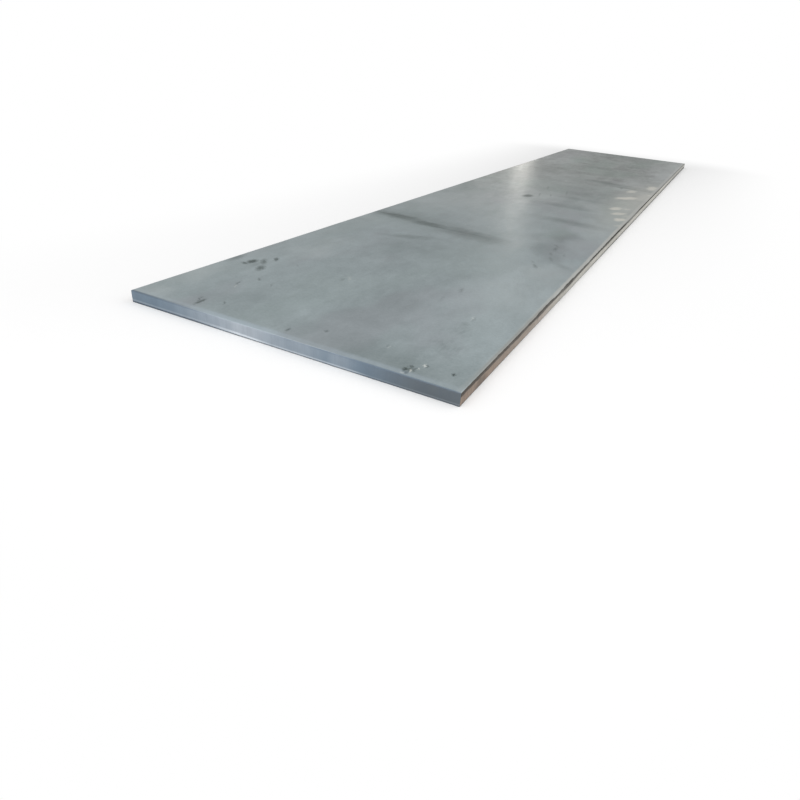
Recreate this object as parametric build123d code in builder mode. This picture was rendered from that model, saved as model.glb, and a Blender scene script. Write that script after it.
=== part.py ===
from build123d import *
import os

# A hot-rolled steel plate as it lies flat in a stockyard. Sizes are in millimetres. X runs
# across the plate, Y in the rolling direction, Z up, and the underside lies on Z = 0.

# Order size
plate_width = 1250.0
plate_length = 6000.0
plate_thickness = 45.0

# Long edges: the shoulder that rolls over into the top face, and the small lip below
side_shoulder_radius = 6.0
side_lip_radius = 4.0

# Ends: the softer arrises that the cross cut leaves above and below
end_shoulder_radius = 4.0
end_lip_radius = 3.0

# Upright corners, where a long edge meets an end
corner_radius = 4.0


def edge_profile(span, shoulder_radius, lip_radius):
    """Draw the plate's section: a bar as wide as span, shoulders above and lips below."""
    Rectangle(span, plate_thickness, align=(Align.CENTER, Align.MIN))
    fillet(vertices().group_by(Axis.Y)[-1], shoulder_radius)
    fillet(vertices().group_by(Axis.Y)[0], lip_radius)


with BuildPart() as steel_plate:
    # As rolled, the plate has one cross-section from end to end
    with BuildSketch(Plane.XZ) as rolled_section:
        edge_profile(plate_width, side_shoulder_radius, side_lip_radius)
    extrude(amount=plate_length / 2, both=True)

    # The cross cuts give the ends arrises of their own, which meet the long ones in a mitre
    with BuildSketch(Plane.YZ) as cut_section:
        edge_profile(plate_length, end_shoulder_radius, end_lip_radius)
    extrude(amount=plate_width / 2, both=True, mode=Mode.INTERSECT)

    # The plan outline takes the point off the four upright corners
    with BuildSketch(Plane.XY) as plan_outline:
        RectangleRounded(plate_width, plate_length, corner_radius)
    extrude(amount=plate_thickness, mode=Mode.INTERSECT)

steel_plate.part.label = "steel_plate"

os.makedirs("parts", exist_ok=True)
export_step(steel_plate.part, "parts/steel_plate.step")
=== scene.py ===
# %% [markdown]
# # A hot-rolled steel plate
# This lesson dresses one heavy plate of hot-rolled steel, lying flat, for a studio picture.
# The CAD model gives its true size. Blender gives what the rolling mill and the cutting torch
# leave on it: mill scale, faint waves, soft arrises, rust on the cut edges and a few knocks.

# %% Load the frame
import math
import bpy
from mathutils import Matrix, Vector


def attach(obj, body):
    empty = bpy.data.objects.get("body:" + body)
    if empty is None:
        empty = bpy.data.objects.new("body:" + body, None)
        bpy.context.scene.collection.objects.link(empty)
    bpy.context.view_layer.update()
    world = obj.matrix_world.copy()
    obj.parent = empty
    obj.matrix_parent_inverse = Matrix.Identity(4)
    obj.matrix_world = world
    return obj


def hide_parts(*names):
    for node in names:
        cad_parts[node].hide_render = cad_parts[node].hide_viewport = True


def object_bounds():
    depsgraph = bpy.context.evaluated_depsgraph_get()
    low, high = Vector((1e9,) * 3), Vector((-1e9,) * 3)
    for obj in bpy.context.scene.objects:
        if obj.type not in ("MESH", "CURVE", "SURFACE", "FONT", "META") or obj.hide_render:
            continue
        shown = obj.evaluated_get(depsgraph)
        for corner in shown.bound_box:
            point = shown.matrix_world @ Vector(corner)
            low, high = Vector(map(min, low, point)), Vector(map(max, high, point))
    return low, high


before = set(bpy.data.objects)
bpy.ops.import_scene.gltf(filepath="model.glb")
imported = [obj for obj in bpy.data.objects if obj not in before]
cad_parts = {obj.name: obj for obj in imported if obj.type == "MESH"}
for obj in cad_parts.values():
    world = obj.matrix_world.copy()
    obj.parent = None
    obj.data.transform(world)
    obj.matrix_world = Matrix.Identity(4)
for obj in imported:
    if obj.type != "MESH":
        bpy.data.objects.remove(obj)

cad_low, cad_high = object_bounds()
WIDTH, LENGTH, THICKNESS = cad_high - cad_low
print(f"plate {WIDTH:.3f} x {LENGTH:.3f} x {THICKNESS:.3f} m")

# %% [markdown]
# ## A short way to write node trees
# Both the plate's shape and its finishes are node trees. Written out in full they are long, so
# this small bench adds a node, sets numbers on its sockets and links sockets to its sockets.

# %% The bench
class Bench:
    """A node tree with short ways to add to it: a number is set, a socket is linked."""

    def __init__(self, tree):
        self.tree = tree

    def feed(self, socket, value):
        if isinstance(value, bpy.types.NodeSocket):
            self.tree.links.new(value, socket)
        elif value is not None:
            socket.default_value = value

    def node(self, kind, inputs=None, **settings):
        made = self.tree.nodes.new(kind)
        for name, value in settings.items():
            setattr(made, name, value)
        for name, value in (inputs or {}).items():
            self.feed(made.inputs[name], value)
        return made

    def math(self, operation, *values):
        made = self.node("ShaderNodeMath", operation=operation)
        for socket, value in zip(made.inputs, values):
            self.feed(socket, value)
        return made.outputs[0]

    def times(self, first, second):
        return self.math("MULTIPLY", first, second)

    def minus(self, first, second):
        return self.math("SUBTRACT", first, second)

    def times_plus(self, first, second, third):
        return self.math("MULTIPLY_ADD", first, second, third)

    def most(self, first, *others):
        """The largest of some values."""
        for other in others:
            first = self.math("MAXIMUM", first, other)
        return first

    def vector_math(self, operation, inputs):
        """A vector, or the number that a dot product or a length gives."""
        made = self.node("ShaderNodeVectorMath", inputs, operation=operation)
        return made.outputs["Value" if operation in ("DOT_PRODUCT", "LENGTH") else "Vector"]

    def ramp(self, value, low, high, to_low=0.0, to_high=1.0):
        """value from low to high becomes to_low to to_high, with soft ends."""
        inputs = {"Value": value, "From Min": low, "From Max": high, "To Min": to_low, "To Max": to_high}
        return self.node("ShaderNodeMapRange", inputs, interpolation_type="SMOOTHSTEP").outputs[0]

    def around(self, value, middle, low, high, to_low=0.0, to_high=1.0):
        """A ramp of how far value is from middle."""
        distance = self.math("ABSOLUTE", self.minus(value, middle))
        return self.ramp(distance, low, high, to_low, to_high)

    def noise(self, place, size, detail, roughness=0.5):
        """A noise with lumps of this size, as a value (Fac) and as a colour (Color)."""
        return self.node("ShaderNodeTexNoise", {
            "Vector": place, "Scale": self.math("DIVIDE", 1.0, size), "Detail": detail,
            "Roughness": roughness}).outputs

    def mix(self, share, first, second):
        """A colour between first and second."""
        return self.node("ShaderNodeMix", {0: share, 6: first, 7: second}, data_type="RGBA").outputs[2]

    def split(self, vector):
        return self.node("ShaderNodeSeparateXYZ", {"Vector": vector}).outputs

    def join(self, x, y, z):
        return self.node("ShaderNodeCombineXYZ", {"X": x, "Y": y, "Z": z}).outputs[0]

    def group(self, tree, inputs):
        kind = "GeometryNodeGroup" if tree.bl_idname == "GeometryNodeTree" else "ShaderNodeGroup"
        return self.node(kind, inputs, node_tree=tree).outputs


print("bench ready")

# %% Node groups with named sockets
FLOAT, WHOLE, VECTOR = "NodeSocketFloat", "NodeSocketInt", "NodeSocketVector"
SHAPE, FINISH = "NodeSocketGeometry", "NodeSocketMaterial"
GEOMETRY, SHADER = "GeometryNodeTree", "ShaderNodeTree"


def new_group(name, kind, inputs, outputs):
    """A node group with named sockets. Returns its bench, its inputs and its output node."""
    tree = bpy.data.node_groups.new(name, kind)
    for label, socket_kind, default in inputs:
        socket = tree.interface.new_socket(label, in_out="INPUT", socket_type=socket_kind)
        if default is not None:
            socket.default_value = default
    for label, socket_kind in outputs:
        tree.interface.new_socket(label, in_out="OUTPUT", socket_type=socket_kind)
    bench = Bench(tree)
    return bench, bench.node("NodeGroupInput").outputs, bench.node("NodeGroupOutput").inputs


print("group maker ready")

# %% [markdown]
# ## Where the camera stands
# The picture was taken from beside the near corner, less than a metre above the plate, with a
# wide lens and the camera tilted a little. The place and the turn are those that put the
# plate's corners where the picture has them, for a plate of this size.

# %% The camera
CAMERA_PLACE = (1.0818, -4.2967, 0.7986)
CAMERA_TURN_DEGREES = (59.876, -3.912, 28.430)
CAMERA_LENS_MM = 26.49
SENSOR_MM = 36.0
NEAREST_SEEN = 0.05

camera = bpy.data.objects.new("camera", bpy.data.cameras.new("camera"))
bpy.context.scene.collection.objects.link(camera)
camera.location = CAMERA_PLACE
camera.rotation_euler = [math.radians(angle) for angle in CAMERA_TURN_DEGREES]
camera.data.lens = CAMERA_LENS_MM
camera.data.sensor_width = SENSOR_MM
camera.data.clip_start = NEAREST_SEEN
bpy.context.scene.camera = camera
print("camera", CAMERA_PLACE)

# %% [markdown]
# ## The plate's body
# A rolled plate is a plain block, so its looks are in its arrises: the rolls and the cut leave
# them round, by a few millimetres. The shape follows a rule, so Geometry Nodes make it. A cube
# gets a lattice of lines, the lines are crowded towards the arrises, and each arris is rounded
# by pulling its points in towards a core. Then the top face gets its faint waves.

# %% Crowded lattice lines
ARC_STEPS = 4


def crowded_lines():
    """Moves evenly spaced lines so that they lie close together round the arrises."""
    bench, given, result = new_group(
        "crowded lines", GEOMETRY,
        [("Place", FLOAT, 0.0), ("Lines", FLOAT, 21.0), ("Half Size", FLOAT, 0.5),
         ("Radius", FLOAT, 0.006), ("Guard", FLOAT, 0.002)],
        [("Place", FLOAT)])
    place, lines, half, radius, guard = (given[i] for i in range(5))
    span = bench.times(bench.minus(lines, 1.0), 0.5)
    inward = bench.minus(1.0, bench.math("ABSOLUTE", place))
    step = bench.math("ROUND", bench.times(inward, span))
    # Round the arris the lines stand at equal angles, seen from the centre of the arc
    turn = bench.times_plus(step, -math.pi / 4 / ARC_STEPS, math.pi / 4)
    in_arc = bench.times(radius, bench.minus(1.0, bench.math("TANGENT", turn)))
    # Past it and a guard line they are evenly spaced
    start = bench.math("ADD", radius, guard)
    pitch = bench.math("DIVIDE", bench.minus(half, start), bench.minus(span, ARC_STEPS + 1.0))
    steps_past = bench.minus(step, ARC_STEPS + 1.0)
    past_arc = bench.times_plus(steps_past, pitch, start)
    is_past = bench.math("GREATER_THAN", step, ARC_STEPS + 0.5)
    depth = bench.math("ADD", bench.times(is_past, past_arc),
                       bench.times(bench.minus(1.0, is_past), in_arc))
    new_place = bench.times(bench.math("SIGN", place), bench.minus(half, depth))
    bench.feed(result[0], new_place)
    return bench.tree


CROWDED = crowded_lines()
print("group", CROWDED.name)

# %% Round one pair of directions
SMALLEST_REACH = 1e-6


def rounded_pair():
    """Pulls a point in the plane of two directions into a rectangle with round corners."""
    bench, given, result = new_group(
        "rounded pair", GEOMETRY,
        [("First", FLOAT, 0.0), ("Second", FLOAT, 0.0), ("First Half", FLOAT, 0.5),
         ("Second Half", FLOAT, 0.5), ("Radius", FLOAT, 0.006)],
        [("First", FLOAT), ("Second", FLOAT)])
    radius = given["Radius"]
    cores, offsets = [], []
    for name in ("First", "Second"):
        limit = bench.minus(given[name + " Half"], radius)
        core = bench.math("MINIMUM", bench.most(given[name], bench.times(limit, -1.0)), limit)
        cores.append(core)
        offsets.append(bench.minus(given[name], core))
    squares = [bench.times(offset, offset) for offset in offsets]
    reach = bench.most(bench.math("SQRT", bench.math("ADD", *squares)), SMALLEST_REACH)
    shrink = bench.math("MINIMUM", bench.math("DIVIDE", radius, reach), 1.0)
    for i in range(2):
        bench.feed(result[i], bench.times_plus(offsets[i], shrink, cores[i]))
    return bench.tree


ROUNDED = rounded_pair()


def pulled_in(bench, first, second, first_half, second_half, radius):
    """The two directions of a point after the rounding."""
    return bench.group(ROUNDED, {"First": first, "Second": second, "First Half": first_half,
                                 "Second Half": second_half, "Radius": radius})[:2]


print("group", ROUNDED.name)

# %% Lattice and round arrises
def lattice(bench, given, halves):
    """The x, y and z of the crowded lattice, with its middle at the origin."""
    place = bench.split(bench.node("GeometryNodeInputPosition").outputs[0])
    counts = [given[name] for name in ("Lines Across", "Lines Along", "Lines Up")]
    return [bench.group(CROWDED, {"Place": place[i], "Lines": counts[i], "Half Size": halves[i],
                                  "Radius": given["Side Shoulder"]})[0] for i in range(3)]


def arris_masks(bench, given, halves, axes):
    """How near a point is to the outside in x, y and z, and to an arris: 1 on it."""
    nearness = [bench.ramp(bench.minus(half, bench.math("ABSOLUTE", axis)), given["Side Shoulder"], 0.0)
                for half, axis in zip(halves, axes)]
    pairs = [bench.times(nearness[i], nearness[j]) for i, j in ((0, 1), (1, 2), (0, 2))]
    return nearness, bench.most(*pairs)


def rounded_arrises(bench, given, halves, axes):
    """Rounds the shoulders above and the lips below, then the upright corners."""
    x, y, z = axes
    is_top = bench.math("GREATER_THAN", z, 0.0)
    side_radius, end_radius = (
        bench.times_plus(is_top, bench.minus(given[top], given[low]), given[low])
        for top, low in (("Side Shoulder", "Side Lip"), ("End Shoulder", "End Lip")))
    x, z = pulled_in(bench, x, z, halves[0], halves[2], side_radius)
    y, z = pulled_in(bench, y, z, halves[1], halves[2], end_radius)
    x, y = pulled_in(bench, x, y, halves[0], halves[1], given["Corner Radius"])
    return x, y, z


print("lattice and arrises ready")

# %% [markdown]
# ### Waves and wobble
# No plate is dead flat. Long waves of under a millimetre run through this one, and short ripples
# run in from its long edges, where the rolls stretched it more. They only take material away,
# so the plate stays inside its ordered size. The cut edges wander by a fraction of a millimetre.

# %% Waves and wobble
# Ripples are drawn out across the plate, and come from a slice of noise of their own
RIPPLE_SQUEEZE, RIPPLE_SLICE = 0.35, 5.0
# Lumps of the wobble in a metre, in plan and upwards
WOBBLE_LUMPS, WOBBLE_LUMPS_UP = 9.0, 30.0


def sunk_top(bench, given, halves, axes):
    """Waves sink the top face, and ripples run in from the long edges."""
    x, y, z = axes
    wave = bench.noise(bench.join(x, y, 0.0), given["Wave Pitch"], 1.0)["Fac"]
    ripple_place = bench.join(bench.times(x, RIPPLE_SQUEEZE), y, RIPPLE_SLICE)
    ripple = bench.noise(ripple_place, given["Ripple Pitch"], 0.0)["Fac"]
    from_side = bench.minus(halves[0], bench.math("ABSOLUTE", x))
    ripple = bench.times(ripple, bench.ramp(from_side, given["Ripple Reach"], 0.0))
    sink = bench.math("ADD", bench.times(wave, given["Wave Depth"]),
                      bench.times(ripple, given["Ripple Depth"]))
    on_top = bench.ramp(z, 0.0, halves[2])
    return bench.minus(z, bench.times(sink, on_top))


def wandering_edges(bench, given, axes, nearness):
    """The cut edges wander inwards a little, in x and in y."""
    x, y, z = axes
    edge_place = bench.join(bench.times(x, WOBBLE_LUMPS), bench.times(y, WOBBLE_LUMPS),
                            bench.times(z, WOBBLE_LUMPS_UP))
    wander = bench.node("ShaderNodeTexNoise",
                        {"Vector": edge_place, "Scale": 1.0, "Detail": 2.0}).outputs["Fac"]
    pull = bench.times(bench.times(wander, given["Wobble"]), -1.0)
    return [bench.times_plus(bench.times(near, bench.math("SIGN", axis)), pull, axis)
            for near, axis in zip(nearness, (x, y))]


print("waves and wobble ready")

# %% The plate's tree
# Counts of lattice lines, and sizes in metres
SIZES = (
    ("Width", WIDTH), ("Length", LENGTH), ("Thickness", THICKNESS),
    ("Lines Across", 75), ("Lines Along", 281), ("Lines Up", 17),
    ("Side Shoulder", 0.006), ("Side Lip", 0.004), ("End Shoulder", 0.004), ("End Lip", 0.003),
    ("Corner Radius", 0.004), ("Wave Depth", 0.0008), ("Wave Pitch", 0.9),
    ("Ripple Depth", 0.0007), ("Ripple Pitch", 0.17), ("Ripple Reach", 0.42), ("Wobble", 0.0005),
)
FACES = ("Top", "Underside", "Sides", "Ends")


def put_materials(bench, shape, given):
    """Gives each face the finish of the way it looks: up, down, to a side or to an end."""
    normal = bench.split(bench.node("GeometryNodeInputNormal").outputs[0])
    steep = math.sqrt(0.5)
    across = bench.math("ABSOLUTE", normal[0])
    along = bench.math("ABSOLUTE", normal[1])
    choices = (
        ("Ends", bench.math("GREATER_THAN", along, across)),
        ("Sides", bench.math("GREATER_THAN", across, along)),
        ("Top", bench.math("GREATER_THAN", normal[2], steep)),
        ("Underside", bench.math("LESS_THAN", normal[2], -steep)),
    )
    for name, chosen in choices:
        painted = bench.node("GeometryNodeSetMaterial", {
            "Geometry": shape, "Selection": chosen, "Material": given[name]})
        shape = painted.outputs[0]
    return shape


def plate_body():
    """The whole plate: lattice, round arrises, waves, wobble and finishes."""
    sizes = [(name, WHOLE if isinstance(size, int) else FLOAT, size) for name, size in SIZES]
    inputs = [("Geometry", SHAPE, None)] + sizes + [(name, FINISH, None) for name in FACES]
    bench, given, result = new_group("plate body", GEOMETRY, inputs, [("Geometry", SHAPE)])
    block = bench.node("GeometryNodeMeshCube", {
        "Size": (2.0, 2.0, 2.0), "Vertices X": given["Lines Across"],
        "Vertices Y": given["Lines Along"], "Vertices Z": given["Lines Up"]}).outputs["Mesh"]
    halves = [bench.times(given[name], 0.5) for name in ("Width", "Length", "Thickness")]
    axes = lattice(bench, given, halves)
    nearness, arris = arris_masks(bench, given, halves, axes)
    x, y, z = rounded_arrises(bench, given, halves, axes)
    z = sunk_top(bench, given, halves, (x, y, z))
    x, y = wandering_edges(bench, given, (x, y, z), nearness)
    # The underside lies on the ground
    place = bench.join(x, y, bench.math("ADD", z, halves[2]))
    moved = bench.node("GeometryNodeSetPosition", {"Geometry": block, "Position": place}).outputs[0]
    kept = bench.node("GeometryNodeStoreNamedAttribute",
                      {"Geometry": moved, "Name": "arris", "Value": arris},
                      data_type="FLOAT", domain="POINT").outputs[0]
    smooth = bench.node("GeometryNodeSetShadeSmooth", {"Geometry": kept}).outputs[0]
    realized = bench.node("GeometryNodeRealizeInstances", {"Geometry": smooth}).outputs[0]
    bench.feed(result[0], put_materials(bench, realized, given))
    return bench.tree


PLATE_BODY = plate_body()
print("group", PLATE_BODY.name, "nodes", len(PLATE_BODY.nodes))

# %% The plate as a plain mesh
def made_by(tree, name, settings):
    """Runs a geometry tree with these inputs and keeps the result as a plain mesh object."""
    holder = bpy.data.objects.new("holder", bpy.data.meshes.new("holder"))
    bpy.context.scene.collection.objects.link(holder)
    modifier = holder.modifiers.new("make", "NODES")
    modifier.node_group = tree
    names = {item.name: item.identifier for item in tree.interface.items_tree if item.in_out == "INPUT"}
    for label, value in settings.items():
        modifier[names[label]] = value
    ready = holder.evaluated_get(bpy.context.evaluated_depsgraph_get())
    mesh = bpy.data.meshes.new_from_object(ready)
    mesh.name = name
    holder.modifiers.clear()
    bpy.data.objects.remove(holder)
    piece = bpy.data.objects.new(name, mesh)
    bpy.context.scene.collection.objects.link(piece)
    return piece


labels = ("mill scale, top", "mill scale, underside", "cut long edge", "cut end")
finishes = {name: bpy.data.materials.new(label) for name, label in zip(FACES, labels)}
plate = made_by(PLATE_BODY, "plate", finishes)
print("plate faces", len(plate.data.polygons), "size", [round(v, 4) for v in plate.dimensions])

# %% [markdown]
# ## Finishes
# Three finishes meet on this plate. Both faces wear mill scale, the blue-grey skin that hot steel
# grows between the rolls. The long edges were cut some time ago and have a thin tan rust. The
# ends were cut last and are still smooth and blue-grey. What they share, such as stains, tone,
# streaks and grain, is made once as a shader group and placed in each finish with its own values.

# %% Colours as a screen shows them
def paint(red, green, blue):
    """A colour as a screen shows it, from 0 to 255, as the linear values that a shader takes."""
    def linear(value):
        value /= 255.0
        return value / 12.92 if value <= 0.04045 else ((value + 0.055) / 1.055) ** 2.4
    return (linear(red), linear(green), linear(blue), 1.0)


print("a mid grey", [round(v, 3) for v in paint(128, 128, 128)[:3]])

# %% Shared effect: a stain
def stain_group():
    """One soft oval stain, laid over the stains under it: its strength inside, 0 outside.

    Across and Along are the oval's two directions, each divided by the half size that way."""
    bench, given, result = new_group(
        "stain", SHADER,
        [("Place", VECTOR, None), ("Middle", VECTOR, (0, 0, 0)), ("Across", VECTOR, (10, 0, 0)),
         ("Along", VECTOR, (0, 10, 0)), ("Strength", FLOAT, 1.0), ("Softness", FLOAT, 0.8),
         ("Under", FLOAT, 0.0)],
        [("Mask", FLOAT)])
    offset = bench.vector_math("SUBTRACT", {0: given["Place"], 1: given["Middle"]})
    across, along = (bench.vector_math("DOT_PRODUCT", {0: offset, 1: given[name]})
                     for name in ("Across", "Along"))
    square = bench.times_plus(across, across, bench.times(along, along))
    inner = bench.minus(1.0, given["Softness"])
    mask = bench.times(bench.ramp(bench.math("SQRT", square), 1.0, inner), given["Strength"])
    bench.feed(result[0], bench.most(mask, given["Under"]))
    return bench.tree


STAIN = stain_group()


def stains(bench, place, table):
    """The strongest of a table's stains at each place, read by its X and Y."""
    mask = 0.0
    for x, y, half_across, half_along, turn, strength, softness in table:
        cosine, sine = math.cos(math.radians(turn)), math.sin(math.radians(turn))
        mask = bench.group(STAIN, {
            "Place": place, "Middle": (x, y, 0.0),
            "Across": (cosine / half_across, sine / half_across, 0.0),
            "Along": (-sine / half_along, cosine / half_along, 0.0),
            "Strength": strength, "Softness": softness, "Under": mask})[0]
    return mask


print("group", STAIN.name)

# %% Shared effect: uneven tone
TONE_ROUGHNESS = 0.55
# Each tone's detail, and the values of its noise that become 0 and 1
TONES = (("Broad", 3.0, 0.30, 0.70), ("Fine", 3.0, 0.28, 0.72), ("Speck", 1.0, 0.25, 0.75))


def tone_group():
    """Broad clouds, mottling and fine specks. The first two are drawn out along the plate."""
    bench, given, result = new_group(
        "uneven tone", SHADER,
        [("Place", VECTOR, None), ("Drawn Out", FLOAT, 0.35), ("Seed", FLOAT, 0.0),
         ("Broad Size", FLOAT, 0.3), ("Fine Size", FLOAT, 0.025), ("Speck Size", FLOAT, 0.006)],
        [("Broad", FLOAT), ("Fine", FLOAT), ("Specks", FLOAT)])
    x, y, z = bench.split(given["Place"])
    drawn = bench.join(bench.math("ADD", x, given["Seed"]), bench.times(y, given["Drawn Out"]), z)
    for i, (name, detail, low, high) in enumerate(TONES):
        place = given["Place"] if name == "Speck" else drawn
        noise = bench.noise(place, given[name + " Size"], detail, TONE_ROUGHNESS)["Fac"]
        bench.feed(result[i], bench.ramp(noise, low, high))
    return bench.tree


TONE = tone_group()
print("group", TONE.name)

# %% Shared effect: ragged places
# The noise seldom leaves its middle by more than a quarter, which becomes the whole reach
REACH_GAIN = 4.0


def ragged_group():
    """Shifts places by a noise, so that whatever is drawn with them gets ragged borders."""
    bench, given, result = new_group(
        "ragged place", SHADER,
        [("Place", VECTOR, None), ("Size", FLOAT, 0.05), ("Reach", FLOAT, 0.01)],
        [("Place", VECTOR)])
    noise = bench.noise(given["Place"], given["Size"], 3.0)["Color"]
    centred = bench.vector_math("SUBTRACT", {0: noise, 1: (0.5, 0.5, 0.5)})
    reach = bench.times(given["Reach"], REACH_GAIN)
    shift = bench.vector_math("SCALE", {0: centred, "Scale": reach})
    bench.feed(result[0], bench.vector_math("ADD", {0: given["Place"], 1: shift}))
    return bench.tree


RAGGED = ragged_group()


def ragged_place(bench, place, size, reach):
    return bench.group(RAGGED, {"Place": place, "Size": size, "Reach": reach})[0]


print("group", RAGGED.name)

# %% Shared effect: streaks
def streak_group():
    """Fine streaks: a noise squeezed to the pitch and the length that are given for X, Y and Z."""
    bench, given, result = new_group(
        "streaks", SHADER,
        [("Place", VECTOR, None), ("Length", VECTOR, (0.3, 0.01, 0.3)), ("Detail", FLOAT, 2.0)],
        [("Streaks", FLOAT)])
    squeezed = bench.node("ShaderNodeMapping", {"Vector": given["Place"], "Scale": given["Length"]},
                          vector_type="TEXTURE").outputs[0]
    noise = bench.node("ShaderNodeTexNoise", {
        "Vector": squeezed, "Scale": 1.0, "Detail": given["Detail"]}).outputs["Fac"]
    bench.feed(result[0], bench.ramp(noise, 0.3, 0.7))
    return bench.tree


STREAKS = streak_group()


def streaks(bench, place, length, detail=2.0):
    return bench.group(STREAKS, {"Place": place, "Length": length, "Detail": detail})[0]


print("group", STREAKS.name)

# %% Shared effect: surface grain
PEEL_SHARE, PIT_SHARE = 0.7, 0.3


def grain_group():
    """The height of the fine grain: small pits on a faint orange peel."""
    bench, given, result = new_group(
        "surface grain", SHADER,
        [("Place", VECTOR, None), ("Pit Size", FLOAT, 0.004), ("Peel Size", FLOAT, 0.03)],
        [("Height", FLOAT)])
    pits = bench.noise(given["Place"], given["Pit Size"], 2.0)["Fac"]
    peel = bench.noise(given["Place"], given["Peel Size"], 1.0)["Fac"]
    bench.feed(result[0], bench.times_plus(peel, PEEL_SHARE, bench.times(pits, PIT_SHARE)))
    return bench.tree


GRAIN = grain_group()
print("group", GRAIN.name)

# %% [markdown]
# ### Marks on the top face
# The plate has been rolled, levelled and moved about, and each step left its mark. The levelling
# rolls left dark lines across it, and near the pale streak a few more lines are painted dark
# reflection. Handling left smudges, small pits and soft scuffs. Broad clouds darken the scale, and
# in other places its skin is paler or greenish, partly as painted reflection. Near the right edge
# painted glints stand in for the glare off its ripples, and there are a few bare flecks. Each mark
# is one line here: where its middle is, its half size across and along the plate, its turn, its
# strength and its softness.

# %% Dark marks
# x, y, half across, half along (metres), turn (degrees), strength, softness
# Some of the cross lines, near the pale streak, are painted dark reflection; the others are marks of the
# levelling rolls
CROSS_LINES_AND_DARK_REFLECTION = (
    (-0.46, -1.342, 0.32, 0.090, -5, 1.00, 0.9),
    (-0.26, -1.388, 0.28, 0.090, -8, 1.00, 0.9),
    (-0.02, -1.425, 0.36, 0.165, -9, 0.88, 1.0),
    (0.06, -1.340, 0.20, 0.220, -9, 0.34, 1.0),
    (-0.30, -1.320, 0.52, 0.200, -7, 0.46, 1.0),
    (-0.22, -1.690, 0.20, 0.055, 24, 0.52, 0.9),
    (0.18, -0.310, 0.30, 0.100, -4, 0.55, 0.9),
    (0.34, -0.750, 0.34, 0.100, -6, 0.62, 0.9),
    (0.22, 0.010, 0.30, 0.080, 0, 0.36, 1.0),
    (0.26, 0.890, 0.42, 0.130, -8, 0.62, 0.9),
    (0.40, 0.800, 0.26, 0.060, -3, 0.80, 0.8),
    (0.12, 0.470, 0.26, 0.120, 5, 0.28, 1.0),
    (0.08, 1.750, 0.30, 0.160, 2, 0.28, 1.0),
    (-0.30, 2.200, 0.30, 0.200, 2, 0.18, 1.0),
)
SMUDGES = (
    (-0.525, -2.485, 0.028, 0.046, 8, 1.00, 0.8),
    (-0.533, -2.521, 0.030, 0.018, -20, 0.85, 0.9),
    (-0.470, -2.402, 0.016, 0.038, 35, 0.95, 0.9),
    (-0.488, -2.460, 0.021, 0.062, 35, 0.78, 0.9),
    (-0.446, -2.530, 0.026, 0.056, 28, 0.85, 0.9),
    (-0.608, -2.488, 0.034, 0.090, 0, 0.62, 1.0),
    (-0.362, -2.638, 0.009, 0.026, 40, 0.60, 0.9),
    (-0.285, -2.660, 0.009, 0.026, 35, 0.35, 0.9),
    (-0.355, -2.410, 0.008, 0.022, 35, 0.28, 0.9),
    (-0.395, -2.715, 0.010, 0.034, 20, 0.62, 0.9),
    (-0.366, -2.935, 0.013, 0.046, 6, 0.90, 0.9),
    (-0.384, -2.920, 0.008, 0.034, 30, 0.60, 0.9),
    (-0.296, -2.895, 0.008, 0.022, 40, 0.60, 0.9),
    (-0.120, -2.440, 0.010, 0.030, 25, 0.30, 0.9),
    (0.010, -2.945, 0.009, 0.018, 15, 0.75, 0.8),
    (0.110, -2.882, 0.009, 0.016, 20, 0.50, 0.8),
    (0.320, -2.860, 0.007, 0.014, 0, 0.35, 0.9),
    (0.250, -2.090, 0.060, 0.080, 0, 0.24, 1.0),
    (0.550, -1.665, 0.095, 0.040, -35, 0.30, 1.0),
    (0.446, -2.555, 0.024, 0.034, 0, 0.28, 1.0),
    (-0.490, -2.505, 0.034, 0.055, 20, 0.36, 1.0),
    (0.565, -2.915, 0.009, 0.014, 0, 1.00, 0.8),
    (0.437, -2.967, 0.010, 0.026, 12, 1.00, 0.8),
    (0.448, -2.984, 0.015, 0.016, 0, 1.00, 0.8),
    (0.448, -2.958, 0.012, 0.030, 10, 0.70, 0.9),
    (0.459, -2.953, 0.007, 0.022, 14, 0.62, 0.9),
    (0.445, -2.942, 0.006, 0.014, 20, 0.70, 0.8),
    (0.481, -2.914, 0.006, 0.016, 15, 0.60, 0.8),
    (0.302, -2.250, 0.013, 0.042, 10, 0.45, 0.9),
    (0.280, -2.380, 0.010, 0.060, 8, 0.20, 0.9),
    (0.455, -2.500, 0.007, 0.036, 4, 0.28, 0.9),
    (0.435, -1.390, 0.016, 0.060, 10, 0.62, 1.0),
    (0.425, -1.330, 0.012, 0.040, 30, 0.50, 0.9),
    (0.440, -1.490, 0.013, 0.045, 20, 0.42, 1.0),
    (0.465, -1.580, 0.014, 0.060, 20, 0.40, 0.9),
    (0.500, -1.470, 0.012, 0.050, 15, 0.35, 1.0),
    (0.437, -1.735, 0.015, 0.050, 25, 0.55, 1.0),
    (0.410, -1.680, 0.010, 0.030, 30, 0.30, 0.9),
    (-0.099, -0.154, 0.050, 0.090, -3, 0.95, 0.8),
    (-0.050, -0.040, 0.010, 0.110, 12, 0.45, 0.9),
    (0.020, -0.010, 0.010, 0.090, 14, 0.45, 0.9),
    (0.085, 0.180, 0.012, 0.120, 12, 0.40, 0.9),
    (-0.080, 0.270, 0.012, 0.120, 12, 0.35, 0.9),
    (0.365, 0.770, 0.022, 0.080, 8, 0.75, 0.9),
    (0.300, -0.330, 0.014, 0.080, 10, 0.45, 0.9),
    (0.575, 0.785, 0.036, 0.075, -4, 0.42, 1.0),
)
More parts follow.
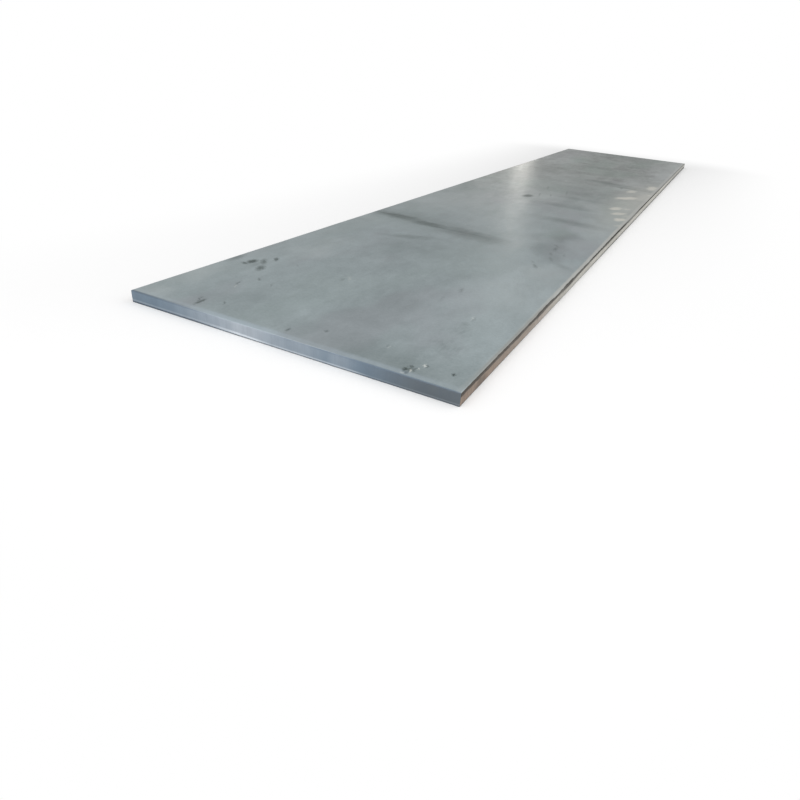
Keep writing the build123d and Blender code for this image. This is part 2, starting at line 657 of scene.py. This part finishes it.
CLOUDS = (
    (0.13, -2.55, 0.20, 0.52, -8, 0.19, 1.0),
    (0.40, -2.96, 0.56, 0.22, 0, 0.27, 1.0),
    (0.05, -2.90, 0.30, 0.18, 0, 0.18, 1.0),
    (-0.60, -1.27, 0.06, 0.10, 0, 0.16, 1.0),
    (0.28, -1.26, 0.06, 0.13, 0, 0.16, 1.0),
    (0.34, 2.84, 0.24, 0.30, 0, 0.12, 1.0),
    (-0.28, -2.85, 0.18, 0.20, 0, 0.19, 1.0),
    (-0.02, -2.14, 0.17, 0.26, 0, 0.13, 1.0),
    (0.09, -1.68, 0.20, 0.42, 0, 0.11, 1.0),
    (0.30, -2.78, 0.14, 0.12, 0, 0.13, 1.0),
    (-0.10, -1.85, 0.34, 0.34, 12, 0.15, 1.0),
    (0.22, -2.14, 0.16, 0.26, 0, 0.15, 1.0),
    (0.41, -1.14, 0.10, 0.18, 0, 0.30, 1.0),
    (0.40, -1.42, 0.11, 0.36, 12, 0.26, 1.0),
    (0.03, 2.90, 0.58, 0.90, 0, 0.30, 1.0),
    (0.26, 2.10, 0.22, 0.42, 0, 0.26, 1.0),
)
SCUFFS = (
    (0.458, -2.600, 0.085, 0.095, 0, 1.00, 1.0),
    (0.475, -2.755, 0.075, 0.085, 0, 1.00, 1.0),
)
print("dark marks", sum(len(table) for table in (CROSS_LINES_AND_DARK_REFLECTION, SMUDGES, CLOUDS, SCUFFS)))

# %% Pale marks
# Painted glints: bright dashes and a broad glow near the right edge, standing in for the glare off its
# ripples
PAINTED_GLINTS = (
    (0.566, 0.972, 0.063, 0.188, 0, 1.00, 0.8),
    (0.598, 0.613, 0.031, 0.095, 3, 0.85, 0.8),
    (0.459, 0.670, 0.055, 0.115, -11, 0.82, 0.8),
    (0.563, 0.392, 0.074, 0.169, -5, 0.66, 1.0),
    (0.479, 0.349, 0.065, 0.167, -34, 1.00, 0.7),
    (0.430, 0.310, 0.040, 0.100, 4, 0.80, 1.0),
    (0.486, -0.106, 0.050, 0.098, -21, 0.95, 0.7),
    (0.549, -0.062, 0.039, 0.077, -14, 0.65, 0.8),
    (0.533, -0.258, 0.050, 0.106, -29, 0.88, 0.7),
    (0.571, -0.434, 0.048, 0.092, -19, 1.00, 0.7),
    (0.592, -0.610, 0.027, 0.051, -17, 0.50, 0.8),
    (0.582, -0.300, 0.062, 0.100, 0, 0.52, 1.0),
    (0.608, 0.450, 0.034, 0.260, 0, 0.72, 1.0),
    (0.575, 0.480, 0.140, 0.560, 0, 0.60, 1.0),
    (0.570, 0.250, 0.280, 1.350, 0, 0.44, 1.0),
)
# Pale skin: places where the scale is thin, and partly a painted reflection
PALE_SKIN_AND_SHEEN = (
    (0.500, -2.100, 0.260, 0.560, 0, 0.14, 1.0),
    (0.520, -1.820, 0.180, 0.300, 0, 0.24, 1.0),
    (0.240, -1.340, 0.180, 0.300, 0, 0.14, 1.0),
    (0.590, 2.100, 0.230, 1.900, 0, 0.46, 1.0),
    (-0.380, 1.980, 0.240, 0.800, 0, 0.34, 1.0),
    (-0.600, 2.000, 0.140, 1.200, 0, 0.16, 1.0),
    (-0.600, -2.000, 0.200, 1.800, 0, 0.10, 1.0),
    (-0.600, -2.700, 0.120, 0.260, 0, 0.30, 1.0),
    (-0.440, -2.140, 0.160, 0.340, 0, 0.20, 1.0),
    (-0.010, -0.040, 0.230, 0.420, 0, 0.34, 1.0),
    (-0.560, -1.500, 0.130, 0.110, 0, 0.22, 1.0),
    (0.340, -0.160, 0.110, 0.140, 0, 0.24, 1.0),
    (0.250, -1.440, 0.070, 0.150, 0, 0.26, 1.0),
    (0.410, 1.000, 0.220, 0.900, 0, 0.30, 1.0),
    (-0.480, -0.700, 0.340, 0.620, 0, 0.28, 1.0),
    (-0.060, -0.330, 0.090, 0.170, 0, 0.30, 1.0),
    (-0.580, -0.300, 0.090, 0.260, 0, 0.26, 1.0),
    (-0.600, -1.510, 0.080, 0.090, 0, 0.26, 1.0),
    (0.500, 1.160, 0.100, 0.260, 0, 0.26, 1.0),
    (-0.570, -2.950, 0.150, 0.140, 0, 0.24, 1.0),
    (0.560, -0.700, 0.200, 0.900, 0, 0.28, 1.0),
    (-0.120, 0.700, 0.340, 1.100, 0, 0.16, 1.0),
)
GREENISH = (
    (-0.284, 2.120, 0.160, 0.500, 9, 0.55, 1.0),
    (0.260, 2.370, 0.170, 0.520, 2, 0.55, 1.0),
    (0.350, -1.050, 0.110, 0.260, 0, 0.35, 1.0),
)
FLECKS = (
    (0.452, -2.966, 0.0040, 0.016, 12, 0.55, 0.8),
    (0.440, -2.990, 0.0060, 0.006, 0, 0.35, 0.8),
    (0.466, -2.940, 0.0045, 0.012, 18, 0.45, 0.8),
    (0.473, -2.914, 0.0040, 0.018, 18, 0.50, 0.8),
    (-0.105, -2.412, 0.013, 0.040, 25, 0.14, 0.9),
    (0.447, -2.490, 0.006, 0.028, 4, 0.22, 0.9),
    (-0.376, -2.750, 0.006, 0.020, 15, 0.20, 0.8),
    (0.329, -2.866, 0.005, 0.014, 0, 0.16, 0.8),
)
print("pale marks", sum(len(table) for table in (PAINTED_GLINTS, PALE_SKIN_AND_SHEEN, GREENISH, FLECKS)))

# %% [markdown]
# ### Mill scale
# Mill scale is an oxide: dark, nearly grey, and it shines like dull metal. So most of the shader
# is metallic, with a tint that keeps the shine from going white where it is seen at a low angle.
# Towards the far end the skin is less blue, and darker as painted dark reflection. Dark marks are
# stains, with a few lines of painted dark reflection, and pale ones are places where the scale is
# thin or rubbed down to the steel, partly painted reflection; near the right edge they are painted
# glints. A pale strip follows the front end, whose arris has painted shade towards both corners.
# Another follows the right edge, a little rusty near the front, and beside it runs the dark line of
# the shoulder, which is painted shade.

# %% Start and end of a finish
SHINE_LEVEL = 0.3


def start(material):
    """Clears a material's tree. Returns its bench, its shader's inputs and the object's places."""
    material.use_nodes = True
    bench = Bench(material.node_tree)
    bench.tree.nodes.clear()
    shader = bench.node("ShaderNodeBsdfPrincipled")
    bench.node("ShaderNodeOutputMaterial", {"Surface": shader.outputs[0]})
    place = bench.node("ShaderNodeTexCoord").outputs["Object"]
    return bench, shader.inputs, place


def fill_shader(bench, shader, colour, roughness, metallic, tint, relief):
    """Sets the shader's own sockets. relief is the bump's height, its strength and its depth."""
    height, strength, depth = relief
    bump = bench.node("ShaderNodeBump", {"Strength": strength, "Distance": depth, "Height": height})
    for name, value in (("Base Color", colour), ("Roughness", roughness), ("Metallic", metallic),
                        ("Specular IOR Level", SHINE_LEVEL),
                        ("Specular Tint", (tint, tint, tint, 1.0)), ("Normal", bump.outputs[0])):
        bench.feed(shader[name], value)


print("shine level", SHINE_LEVEL)

# %% The skin of mill scale
NEAR_DARK, NEAR_LIGHT = paint(142, 153, 155), paint(170, 181, 184)
# The far colours are less blue, and also darker: a painted dark reflection towards the far end
FAR_DARK, FAR_LIGHT = paint(106, 112, 109), paint(152, 159, 156)
VIOLET, GREEN = paint(152, 151, 158), paint(124, 142, 134)
# Where along the plate the skin turns from its near colours to its far ones
SKIN_TURNS = (-1.8, 1.6)


def scale_skin(bench, place, seed):
    """The even part of mill scale: its colour, its tones and the height of its grain."""
    tone = bench.group(TONE, {"Place": place, "Seed": seed})
    patches = bench.group(TONE, {"Place": place, "Seed": seed + 7.0, "Drawn Out": 0.4,
                                 "Broad Size": 0.45, "Fine Size": 0.07, "Speck Size": 0.012})
    shade = bench.times(tone["Broad"], 0.25)
    for part, weight in ((patches["Fine"], 0.25), (tone["Fine"], 0.20),
                         (patches["Specks"], 0.15), (tone["Specks"], 0.15)):
        shade = bench.times_plus(part, weight, shade)
    # Blotches and the chatter of the rolls show more towards the far end
    far = bench.ramp(bench.split(place)[1], *SKIN_TURNS)
    blotches = bench.times(bench.minus(patches["Fine"], 0.5), far)
    shade = bench.times_plus(blotches, 0.25, shade)
    chatter = streaks(bench, place, (0.17, 0.15, 1.0), 3.0)
    shade = bench.times_plus(bench.minus(chatter, 0.5), bench.times_plus(far, 0.42, 0.10), shade)
    near_colour = bench.mix(shade, NEAR_DARK, NEAR_LIGHT)
    colour = bench.mix(far, near_colour, bench.mix(shade, FAR_DARK, FAR_LIGHT))
    violet = bench.times(bench.ramp(patches["Broad"], 0.55, 1.0), 0.30)
    colour = bench.mix(violet, colour, VIOLET)
    green = bench.times(bench.ramp(patches["Broad"], 0.45, 0.0), bench.times_plus(far, 0.35, 0.10))
    colour = bench.mix(green, colour, GREEN)
    height = bench.group(GRAIN, {"Place": place})[0]
    return colour, tone, height


print("skin turns between y", SKIN_TURNS)

# %% Marks on the skin
STAIN_DARK, PALE = paint(56, 67, 65), paint(200, 206, 206)
# The first colour is that of the painted glints near the right edge
GLINT_COLOUR, PALE_FLECK = paint(220, 218, 208), paint(232, 234, 228)
MARK_COVER = 0.9


def top_marks(bench, place, colour):
    """Lays the marks of the tables on the skin. Returns its colour and the dark marks' mask."""
    ragged = ragged_place(bench, place, 0.05, 0.012)
    finely = ragged_place(bench, place, 0.010, 0.006)
    loosely = ragged_place(bench, place, 0.14, 0.05)
    colour = bench.mix(stains(bench, loosely, CLOUDS), colour, STAIN_DARK)
    # Pale skin, partly painted reflection
    colour = bench.mix(stains(bench, loosely, PALE_SKIN_AND_SHEEN), colour, PALE)
    colour = bench.mix(stains(bench, loosely, GREENISH), colour, GREEN)
    # The lines are streaky across the plate, and the scuffs are made of soft strokes
    across = streaks(bench, place, (0.25, 0.012, 1.0))
    lines = bench.times(stains(bench, ragged, CROSS_LINES_AND_DARK_REFLECTION), bench.times_plus(across, 0.25, 0.75))
    smudges = stains(bench, finely, SMUDGES)
    strokes = streaks(bench, place, (0.012, 0.040, 1.0), 0.0)
    scuffs = bench.times(stains(bench, loosely, SCUFFS), bench.ramp(strokes, 1.0, 0.0, 0.10, 0.27))
    # Stains, with painted dark reflection among the cross lines
    stains_and_shade = bench.most(lines, smudges, scuffs)
    colour = bench.mix(bench.times(stains_and_shade, MARK_COVER), colour, STAIN_DARK)
    # Painted highlight: the glints near the right edge
    wear_and_glints = stains(bench, ragged, PAINTED_GLINTS)
    colour = bench.mix(bench.times(wear_and_glints, MARK_COVER), colour, GLINT_COLOUR)
    colour = bench.mix(stains(bench, finely, FLECKS), colour, PALE_FLECK)
    return colour, stains_and_shade


print("marks cover", MARK_COVER)

# %% Along the front end
FRONT_PALE, FRONT_ARRIS_SHADE = paint(190, 204, 218), paint(84, 98, 112)
# Ramps: from, to (metres) and the two values there, and before them a middle where there is one
FRONT_STRIP = (0.036, 0.015)
PALE_LEFT, PALE_RIGHT = (-0.15, 0.34, 0.02, 0.10, 0.36), (0.34, 0.26, 0.10, 0.06, 0.24)
DARK_LEFT, DARK_RIGHT = (-0.20, -0.60, 0.0, 0.85), (0.15, 0.36, 0.0, 0.80)
FRONT_ARRIS, ARRIS_FULL = (-0.40, 0.10, 0.0115, 0.0058), 0.0010


def front_end(bench, place, colour):
    """The pale strip of the front end, and painted shade on its arris towards both corners."""
    x, y = bench.split(place)[:2]
    from_front = bench.math("ADD", y, LENGTH / 2)
    paleness = bench.most(bench.around(x, *PALE_LEFT), bench.around(x, *PALE_RIGHT))
    strip = bench.times(bench.ramp(from_front, *FRONT_STRIP), paleness)
    colour = bench.mix(strip, colour, FRONT_PALE)
    reach = bench.ramp(x, *FRONT_ARRIS)
    # Painted shade on the front arris, towards both corners
    darkness = bench.most(bench.ramp(x, *DARK_LEFT), bench.ramp(x, *DARK_RIGHT))
    arris_shade = bench.times(bench.ramp(from_front, reach, ARRIS_FULL), darkness)
    return bench.mix(arris_shade, colour, FRONT_ARRIS_SHADE)


print("front strip", FRONT_STRIP)

# %% Along the right edge
STRIP_PALE, STRIP_RUST = paint(196, 197, 192), paint(148, 138, 126)
# Painted shade: the dark line of the rounded shoulder, on the top face and at the top of the long edge
SHOULDER_SHADE = paint(48, 46, 40)
# Ramps as above, along the plate or in from its edge
STRIP_REACH, STRIP_BORDER = (-2.3, 0.4, 0.015, 0.030), (0.006, -0.004)
STRIP_COMES, STRIP_GOES = (-2.6, -1.9, 0.12, 0.85), (-1.0, 0.8, 1.0, 0.55)
RUSTY_MARGIN, RUSTY_PART = (0.016, 0.006), (-2.52, 0.50, 0.20, 0.0, 0.42)
LINE_LUMPS = ((-2.20, 0.17, 0.05, 0.0, 0.0024), (-1.89, 0.17, 0.05, 0.0, 0.0018))
LINE_REACH, LINE_START = (-2.2, -0.4, 0.0016, 0.0085), (-0.8, 0.8, -0.0020, 0.0020)
LINE_GOES, LINE_FAINT_PART = (0.3, 1.6, 1.0, 0.70), (-0.28, 0.05, 0.36, 0.58, 1.0)
LINE_BLUR = 0.001


def right_edge(bench, place, colour):
    """The strip of the right edge and its dark line, which is painted shade. Returns the colour and the
    line's mask.
    """
    x, y = bench.split(ragged_place(bench, place, 0.03, 0.0012))[:2]
    margin = bench.minus(WIDTH / 2, x)
    past_strip = bench.minus(margin, bench.ramp(y, *STRIP_REACH))
    paleness = bench.times(bench.ramp(y, *STRIP_COMES), bench.ramp(y, *STRIP_GOES))
    strip = bench.times(bench.ramp(past_strip, *STRIP_BORDER), paleness)
    colour = bench.mix(strip, colour, STRIP_PALE)
    rusty = bench.times(bench.ramp(margin, *RUSTY_MARGIN), bench.around(y, *RUSTY_PART))
    colour = bench.mix(rusty, colour, STRIP_RUST)
    lump = bench.most(*(bench.around(y, *row) for row in LINE_LUMPS))
    line_reach = bench.math("ADD", lump, bench.ramp(y, *LINE_REACH))
    past_line = bench.minus(margin, line_reach)
    into_line = bench.minus(margin, bench.ramp(y, *LINE_START))
    shade_line = bench.times(bench.ramp(past_line, LINE_BLUR, -LINE_BLUR),
                       bench.ramp(into_line, -LINE_BLUR, LINE_BLUR))
    shade_line = bench.times(shade_line, bench.ramp(y, *LINE_GOES))
    shade_line = bench.times(shade_line, bench.around(y, *LINE_FAINT_PART))
    # The dark line is painted shade of the rounded shoulder
    return bench.mix(shade_line, colour, SHOULDER_SHADE), shade_line


print("lumps in the dark line", len(LINE_LUMPS))

# %% Mill scale, above and below
SCALE_TINT = 0.45


def mill_scale_top(material):
    bench, shader, place = start(material)
    colour, tone, height = scale_skin(bench, place, 0.0)
    colour, stains_and_shade = top_marks(bench, place, colour)
    colour = front_end(bench, place, colour)
    colour, shade_line = right_edge(bench, place, colour)
    arris = bench.node("ShaderNodeAttribute", attribute_name="arris").outputs["Fac"]
    dull = bench.times_plus(tone["Fine"], 0.08, bench.times_plus(stains_and_shade, 0.15, 0.28))
    dull = bench.times_plus(bench.most(arris, shade_line), 0.4, dull)
    metallic = bench.times_plus(bench.most(stains_and_shade, shade_line), -0.4, 0.8)
    fill_shader(bench, shader, colour, dull, metallic, SCALE_TINT, (height, 0.2, 0.0005))


def mill_scale_under(material):
    bench, shader, place = start(material)
    colour, tone, height = scale_skin(bench, place, 31.0)
    dull = bench.times_plus(tone["Fine"], 0.1, 0.42)
    fill_shader(bench, shader, colour, dull, 0.7, SCALE_TINT, (height, 0.3, 0.0006))


mill_scale_top(finishes["Top"])
mill_scale_under(finishes["Underside"])
print("mill scale nodes", len(finishes["Top"].node_tree.nodes))

# %% [markdown]
# ### Cut edges
# A torch leaves fine upright drag lines. On the long edges they have gone tan with rust near the
# front and pale further back, under a dark shoulder of painted shade where the scale rolls over,
# and above a painted shadow along the foot, with more painted shade low down towards the far end.
# The ends are fresher: smooth and blue-grey, darker towards the right, with a painted highlight in
# the middle, painted shade along the top, a lip that is rubbed pale and a painted shadow along the
# foot.

# %% Rust on the long edges
RUST_NEAR, RUST_NEAR_DARK = paint(154, 137, 122), paint(122, 105, 92)
RUST_WORN, RUST_PINK = paint(151, 146, 138), paint(166, 145, 136)
RUST_FAR, RUST_FAR_DARK = paint(197, 195, 187), paint(162, 160, 152)
# Ramps as above, along the edge
RUST_WEARS, RUST_PALES = (-2.85, -2.50, 0.0, 0.36), (-2.52, -1.80)


def rust(bench, y, tone, drag):
    """Tan with pink patches at the front, soon greyer and then pale."""
    mottling = bench.times_plus(tone["Fine"], 0.2, bench.times(tone["Broad"], 0.4))
    shade = bench.times_plus(drag, 0.4, mottling)
    near_colour = bench.mix(shade, RUST_NEAR_DARK, RUST_NEAR)
    pink = bench.times(bench.ramp(tone["Broad"], 0.5, 1.0), 0.7)
    near_colour = bench.mix(pink, near_colour, RUST_PINK)
    near_colour = bench.mix(bench.ramp(y, *RUST_WEARS), near_colour, RUST_WORN)
    far_colour = bench.mix(shade, RUST_FAR_DARK, RUST_FAR)
    return bench.mix(bench.ramp(y, *RUST_PALES), near_colour, far_colour)


print("rust pales between y", RUST_PALES)

# %% Foot and shoulder of the long edges
# Painted shadow along the foot, and painted shade low down towards the far end
FOOT_SHADOW, FAR_LOW_SHADE = paint(70, 68, 62), paint(96, 98, 96)
# Ramps as above, along the edge or up it
FOOT_TOP, FOOT_FULL = (-0.6, 2.4, 0.0165, 0.0300), 0.0045
FOOT_COMES, FOOT_BASE = (-1.9, -0.9, 0.06, 0.92), (0.0070, 0.0020, 0.0, 0.80)
FAR_SHADE_COMES, FAR_SHADE_UP = (0.6, 3.0, 0.0, 0.62), (0.0330, 0.0180, 0.10, 1.0)
BORDER_RISES, BORDER_RISES_AGAIN = (-1.9, -1.2, 0.0318, 0.0385), (-0.6, 0.6, 0.0, 0.0060)
BORDER_BLUR, SHOULDER_GOES = (-0.0018, 0.0012), (0.9, 1.8, 1.0, 0.20)
# y, z, half along, half up (metres), turn, strength, softness: lumps of the dark shoulder, which
# are painted shade, and knocks below it
SHOULDER_SHADE_AND_KNOCKS = (
    (-2.86, 0.0340, 0.060, 0.0070, 0, 0.60, 0.8),
    (-2.52, 0.0330, 0.130, 0.0060, 0, 0.75, 0.8),
    (-2.28, 0.0340, 0.120, 0.0085, 0, 0.95, 0.8),
    (-1.87, 0.0355, 0.230, 0.0135, 0, 1.00, 0.8),
    (-1.05, 0.0400, 0.300, 0.0080, 0, 0.70, 0.8),
    (-2.85, 0.0120, 0.070, 0.0300, 0, 0.46, 0.8),
    (-2.39, 0.0230, 0.120, 0.0150, 0, 0.13, 0.8),
    (-1.84, 0.0410, 0.180, 0.0075, 0, 0.95, 0.8),
    (-2.86, 0.0260, 0.012, 0.0130, 0, 0.50, 0.8),
    (-2.30, 0.0260, 0.018, 0.0120, 0, 0.40, 0.8),
)


def foot_shadow_and_far_shade(bench, y, height, colour):
    """The painted shadow along the foot, higher further back, and painted shade low down on the far end.
    """
    foot_shadow = bench.ramp(height, bench.ramp(y, *FOOT_TOP), FOOT_FULL)
    foot_shadow = bench.most(bench.times(foot_shadow, bench.ramp(y, *FOOT_COMES)), bench.ramp(height, *FOOT_BASE))
    colour = bench.mix(foot_shadow, colour, FOOT_SHADOW)
    far_shade = bench.times(bench.ramp(y, *FAR_SHADE_COMES), bench.ramp(height, *FAR_SHADE_UP))
    return bench.mix(far_shade, colour, FAR_LOW_SHADE)


def shoulder_shade(bench, y, height, tone):
    """Painted shade: 1 above the border where the scale rolls over, and less towards the far end."""
    border = bench.math("ADD", bench.ramp(y, *BORDER_RISES), bench.ramp(y, *BORDER_RISES_AGAIN))
    above = bench.ramp(bench.minus(height, border), *BORDER_BLUR)
    above = bench.times(above, bench.times_plus(tone["Broad"], 0.15, 0.85))
    return bench.times(above, bench.ramp(y, *SHOULDER_GOES))


print("shoulder stains", len(SHOULDER_SHADE_AND_KNOCKS))

# %% Cut long edges
def cut_long_edge(material):
    bench, shader, place = start(material)
    y = bench.split(place)[1]
    tone = bench.group(TONE, {"Place": place, "Seed": 3.0, "Broad Size": 0.12,
                              "Fine Size": 0.015, "Speck Size": 0.004})
    drag = streaks(bench, place, (1.0, 0.006, 0.08))
    colour = rust(bench, y, tone, drag)
    _, ragged_y, height = bench.split(ragged_place(bench, place, 0.02, 0.0014))
    # Painted shadow along the foot, and painted shade low towards the far end
    colour = foot_shadow_and_far_shade(bench, y, height, colour)
    # The dark shoulder and its lumps are painted shade; the knocks below it are stains
    shade_and_knocks = stains(bench, bench.join(ragged_y, height, 0.0), SHOULDER_SHADE_AND_KNOCKS)
    stains_and_shade = bench.most(shade_and_knocks, shoulder_shade(bench, y, height, tone))
    colour = bench.mix(stains_and_shade, colour, SHOULDER_SHADE)
    dull = bench.times_plus(tone["Fine"], 0.15, 0.5)
    fill_shader(bench, shader, colour, dull, 0.1, 1.0, (drag, 0.4, 0.0005))


cut_long_edge(finishes["Sides"])
print("long edge nodes", len(finishes["Sides"].node_tree.nodes))

# %% Cut ends
END_DARK, END_LIGHT, END_HIGHLIGHT_COLOUR = paint(100, 107, 112), paint(121, 137, 151), paint(198, 204, 210)
# Of these, the streak colour also paints the shade along the top of the end, and the foot colour paints
# the shadow along its foot
END_LIP, END_STREAK_AND_SHADE, END_FOOT_SHADOW = paint(232, 238, 244), paint(84, 96, 110), paint(70, 80, 92)
END_TINT = 0.6
# A painted highlight across the middle of the end: stains that are laid by x alone
END_HIGHLIGHT = (
    (-0.130, 0, 0.40, 1, 0, 0.56, 1.0),
    (-0.118, 0, 0.22, 1, 0, 0.70, 1.0),
    (0.090, 0, 0.16, 1, 0, 0.35, 1.0),
    (0.235, 0, 0.08, 1, 0, 0.28, 1.0),
)
# Ramps as above, across the end or up it
# Across the end it turns darker towards the right; up it, the painted shade along the top begins
END_LIGHTENS, SHOULDER_UP = (0.54, 0.25), (0.0380, 0.0430)
LIP_HEIGHT, LIP_REACH = (-0.24, 0.02, 0.0092, 0.0062), (-0.12, 0.06, 0.0058, 0.0042)
LIP_RIGHT, LIP_LEFT = (0.15, 0.22, 0.12, 0.0, 0.34), (-0.10, -0.30, 0.0, 0.15)
LIP_FULL, END_FOOT_TOP, END_FOOT_FULL = 0.0010, (-0.34, -0.20, 0.0100, 0.0050), 0.0020
# Ramps of the painted highlight: how dark the shoulder and how rubbed the lip is there
SHOULDER_BY_BRIGHTNESS, LIP_BY_BRIGHTNESS = (0.22, 0.45, 0.40, 0.0), (0.3, 0.7, 0.08, 0.64)


def end_colour(bench, place, drag):
    """Blue-grey, darker towards the right, with a painted highlight in the middle, faint streaks,
    painted shade along the top, a pale lip and a painted shadow along the foot.
    """
    x, _, z = bench.split(place)
    colour = bench.mix(bench.ramp(x, *END_LIGHTENS), END_DARK, END_LIGHT)
    # Painted highlight across the middle of the end
    highlight = stains(bench, bench.join(x, 0.0, 0.0), END_HIGHLIGHT)
    colour = bench.mix(highlight, colour, END_HIGHLIGHT_COLOUR)
    stain = streaks(bench, place, (0.045, 1.0, 0.16))
    streaky = bench.times_plus(drag, 0.07, bench.times_plus(stain, 0.14, 0.05))
    colour = bench.mix(streaky, colour, END_STREAK_AND_SHADE)
    # Painted shade along the top of the end, weaker where the painted highlight is
    top_shade = bench.times(bench.ramp(z, *SHOULDER_UP), bench.ramp(highlight, *SHOULDER_BY_BRIGHTNESS))
    colour = bench.mix(top_shade, colour, END_STREAK_AND_SHADE)
    wear_and_glints = bench.most(bench.ramp(highlight, *LIP_BY_BRIGHTNESS), bench.around(x, *LIP_RIGHT),
                        bench.ramp(x, *LIP_LEFT))
    near_lip = bench.around(z, bench.ramp(x, *LIP_HEIGHT), bench.ramp(x, *LIP_REACH), LIP_FULL)
    colour = bench.mix(bench.times(near_lip, wear_and_glints), colour, END_LIP)
    # Painted shadow along the foot of the end
    foot_shadow = bench.ramp(z, bench.ramp(x, *END_FOOT_TOP), END_FOOT_FULL, 0.0, 0.85)
    return bench.mix(foot_shadow, colour, END_FOOT_SHADOW)


def cut_end(material):
    bench, shader, place = start(material)
    tone = bench.group(TONE, {"Place": place, "Seed": 11.0, "Broad Size": 0.10,
                              "Fine Size": 0.012, "Speck Size": 0.004})
    drag = streaks(bench, place, (0.005, 1.0, 0.09))
    colour = end_colour(bench, place, drag)
    arris = bench.node("ShaderNodeAttribute", attribute_name="arris").outputs["Fac"]
    dull = bench.times_plus(arris, 0.35, bench.times_plus(tone["Fine"], 0.10, 0.40))
    fill_shader(bench, shader, colour, dull, 0.6, END_TINT, (drag, 0.15, 0.0003))


cut_end(finishes["Ends"])
print("end nodes", len(finishes["Ends"].node_tree.nodes))

# %% The plate takes the place of its CAD solid
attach(plate, "root")
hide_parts("steel_plate")
print("plate rides on root")

# %% [markdown]
# ## The studio
# A pale floor that fades into a white background, and a white sky. A large key lamp in front and
# a fill lamp at the right give soft light. Two narrow panels stand far behind the plate: their
# mirror image is the pale streak on the top face.

# %% Floor and sky
FLOOR_COLOUR = (0.97, 0.97, 0.97, 1.0)
FLOOR_HALF = 30.0
FADE_FROM, FADE_TO = -0.2, 1.0
SKY_STRENGTH = 0.6


def white_rays(bench):
    """1 for the rays that show the background: the camera's, mirrored and refracted ones."""
    path = bench.node("ShaderNodeLightPath").outputs
    seen = bench.math("ADD", path["Is Camera Ray"], path["Is Glossy Ray"])
    return bench.math("MINIMUM", bench.math("ADD", seen, path["Is Transmission Ray"]), 1.0)


def floor():
    mesh = bpy.data.meshes.new("floor")
    signs = ((-1, -1), (1, -1), (1, 1), (-1, 1))
    corners = [(x * FLOOR_HALF, y * FLOOR_HALF, 0.0) for x, y in signs]
    mesh.from_pydata(corners, [], [(0, 1, 2, 3)])
    piece = bpy.data.objects.new("floor", mesh)
    bpy.context.scene.collection.objects.link(piece)
    material = bpy.data.materials.new("floor")
    material.use_nodes = True
    bench = Bench(material.node_tree)
    bench.tree.nodes.clear()
    place = bench.node("ShaderNodeTexCoord").outputs["Object"]
    x, y = bench.split(place)[:2]
    past = [bench.most(bench.minus(bench.math("ABSOLUTE", axis), half), 0.0)
            for axis, half in ((x, WIDTH / 2), (y, LENGTH / 2))]
    distance = bench.vector_math("LENGTH", {0: bench.join(past[0], past[1], 0.0)})
    far = bench.ramp(distance, FADE_FROM, FADE_TO)
    paper = bench.node("ShaderNodeBsdfDiffuse", {"Color": FLOOR_COLOUR}).outputs[0]
    white = bench.node("ShaderNodeEmission", {"Color": (1, 1, 1, 1), "Strength": 1.0}).outputs[0]
    share = bench.times(far, white_rays(bench))
    blend = bench.node("ShaderNodeMixShader", {0: share, 1: paper, 2: white})
    bench.node("ShaderNodeOutputMaterial", {"Surface": blend.outputs[0]})
    mesh.materials.append(material)


def sky():
    world = bpy.data.worlds.new("studio")
    world.use_nodes = True
    bench = Bench(world.node_tree)
    bench.tree.nodes.clear()
    seen = white_rays(bench)
    strength = bench.math("ADD", SKY_STRENGTH, bench.times(seen, 1.0 - SKY_STRENGTH))
    light = bench.node("ShaderNodeBackground", {"Color": (1, 1, 1, 1), "Strength": strength}).outputs[0]
    bench.node("ShaderNodeOutputWorld", {"Surface": light})
    bpy.context.scene.world = world


floor()
sky()
print("floor half", FLOOR_HALF, "m, sky strength", SKY_STRENGTH)

# %% Lamps
WHITE, WARM_WHITE = (1.0, 1.0, 1.0), (1.0, 0.945, 0.885)
NEAR_CAMERA = (1.08, -4.3, 0.8)
# Name, place, aim, two sizes (metres), power (watts), colour
LAMPS = (
    ("key lamp", (1.2, -7.0, 4.5), (0.0, -1.5, 0.0), (9.0, 9.0), 310.0, WHITE),
    ("fill lamp", (4.5, 1.0, 5.0), (0.0, 0.0, 0.0), (6.0, 6.0), 110.0, WHITE),
    ("far panel", (-2.98, 9.1, 1.1), NEAR_CAMERA, (0.3, 2.0), 8.4, WARM_WHITE),
    ("wide far panel", (-3.55, 8.95, 1.1), NEAR_CAMERA, (0.9, 2.0), 4.1, WARM_WHITE),
)

for name, place, aim, size, power, colour in LAMPS:
    lamp = bpy.data.lights.new(name, "AREA")
    lamp.color = colour
    lamp.shape = "RECTANGLE"
    lamp.size, lamp.size_y = size
    lamp.energy = power
    made = bpy.data.objects.new(name, lamp)
    bpy.context.scene.collection.objects.link(made)
    made.location = place
    made.rotation_euler = (Vector(aim) - Vector(place)).to_track_quat("-Z", "Y").to_euler()
bpy.context.scene.view_settings.view_transform = "Standard"
print("lamps", len(LAMPS))
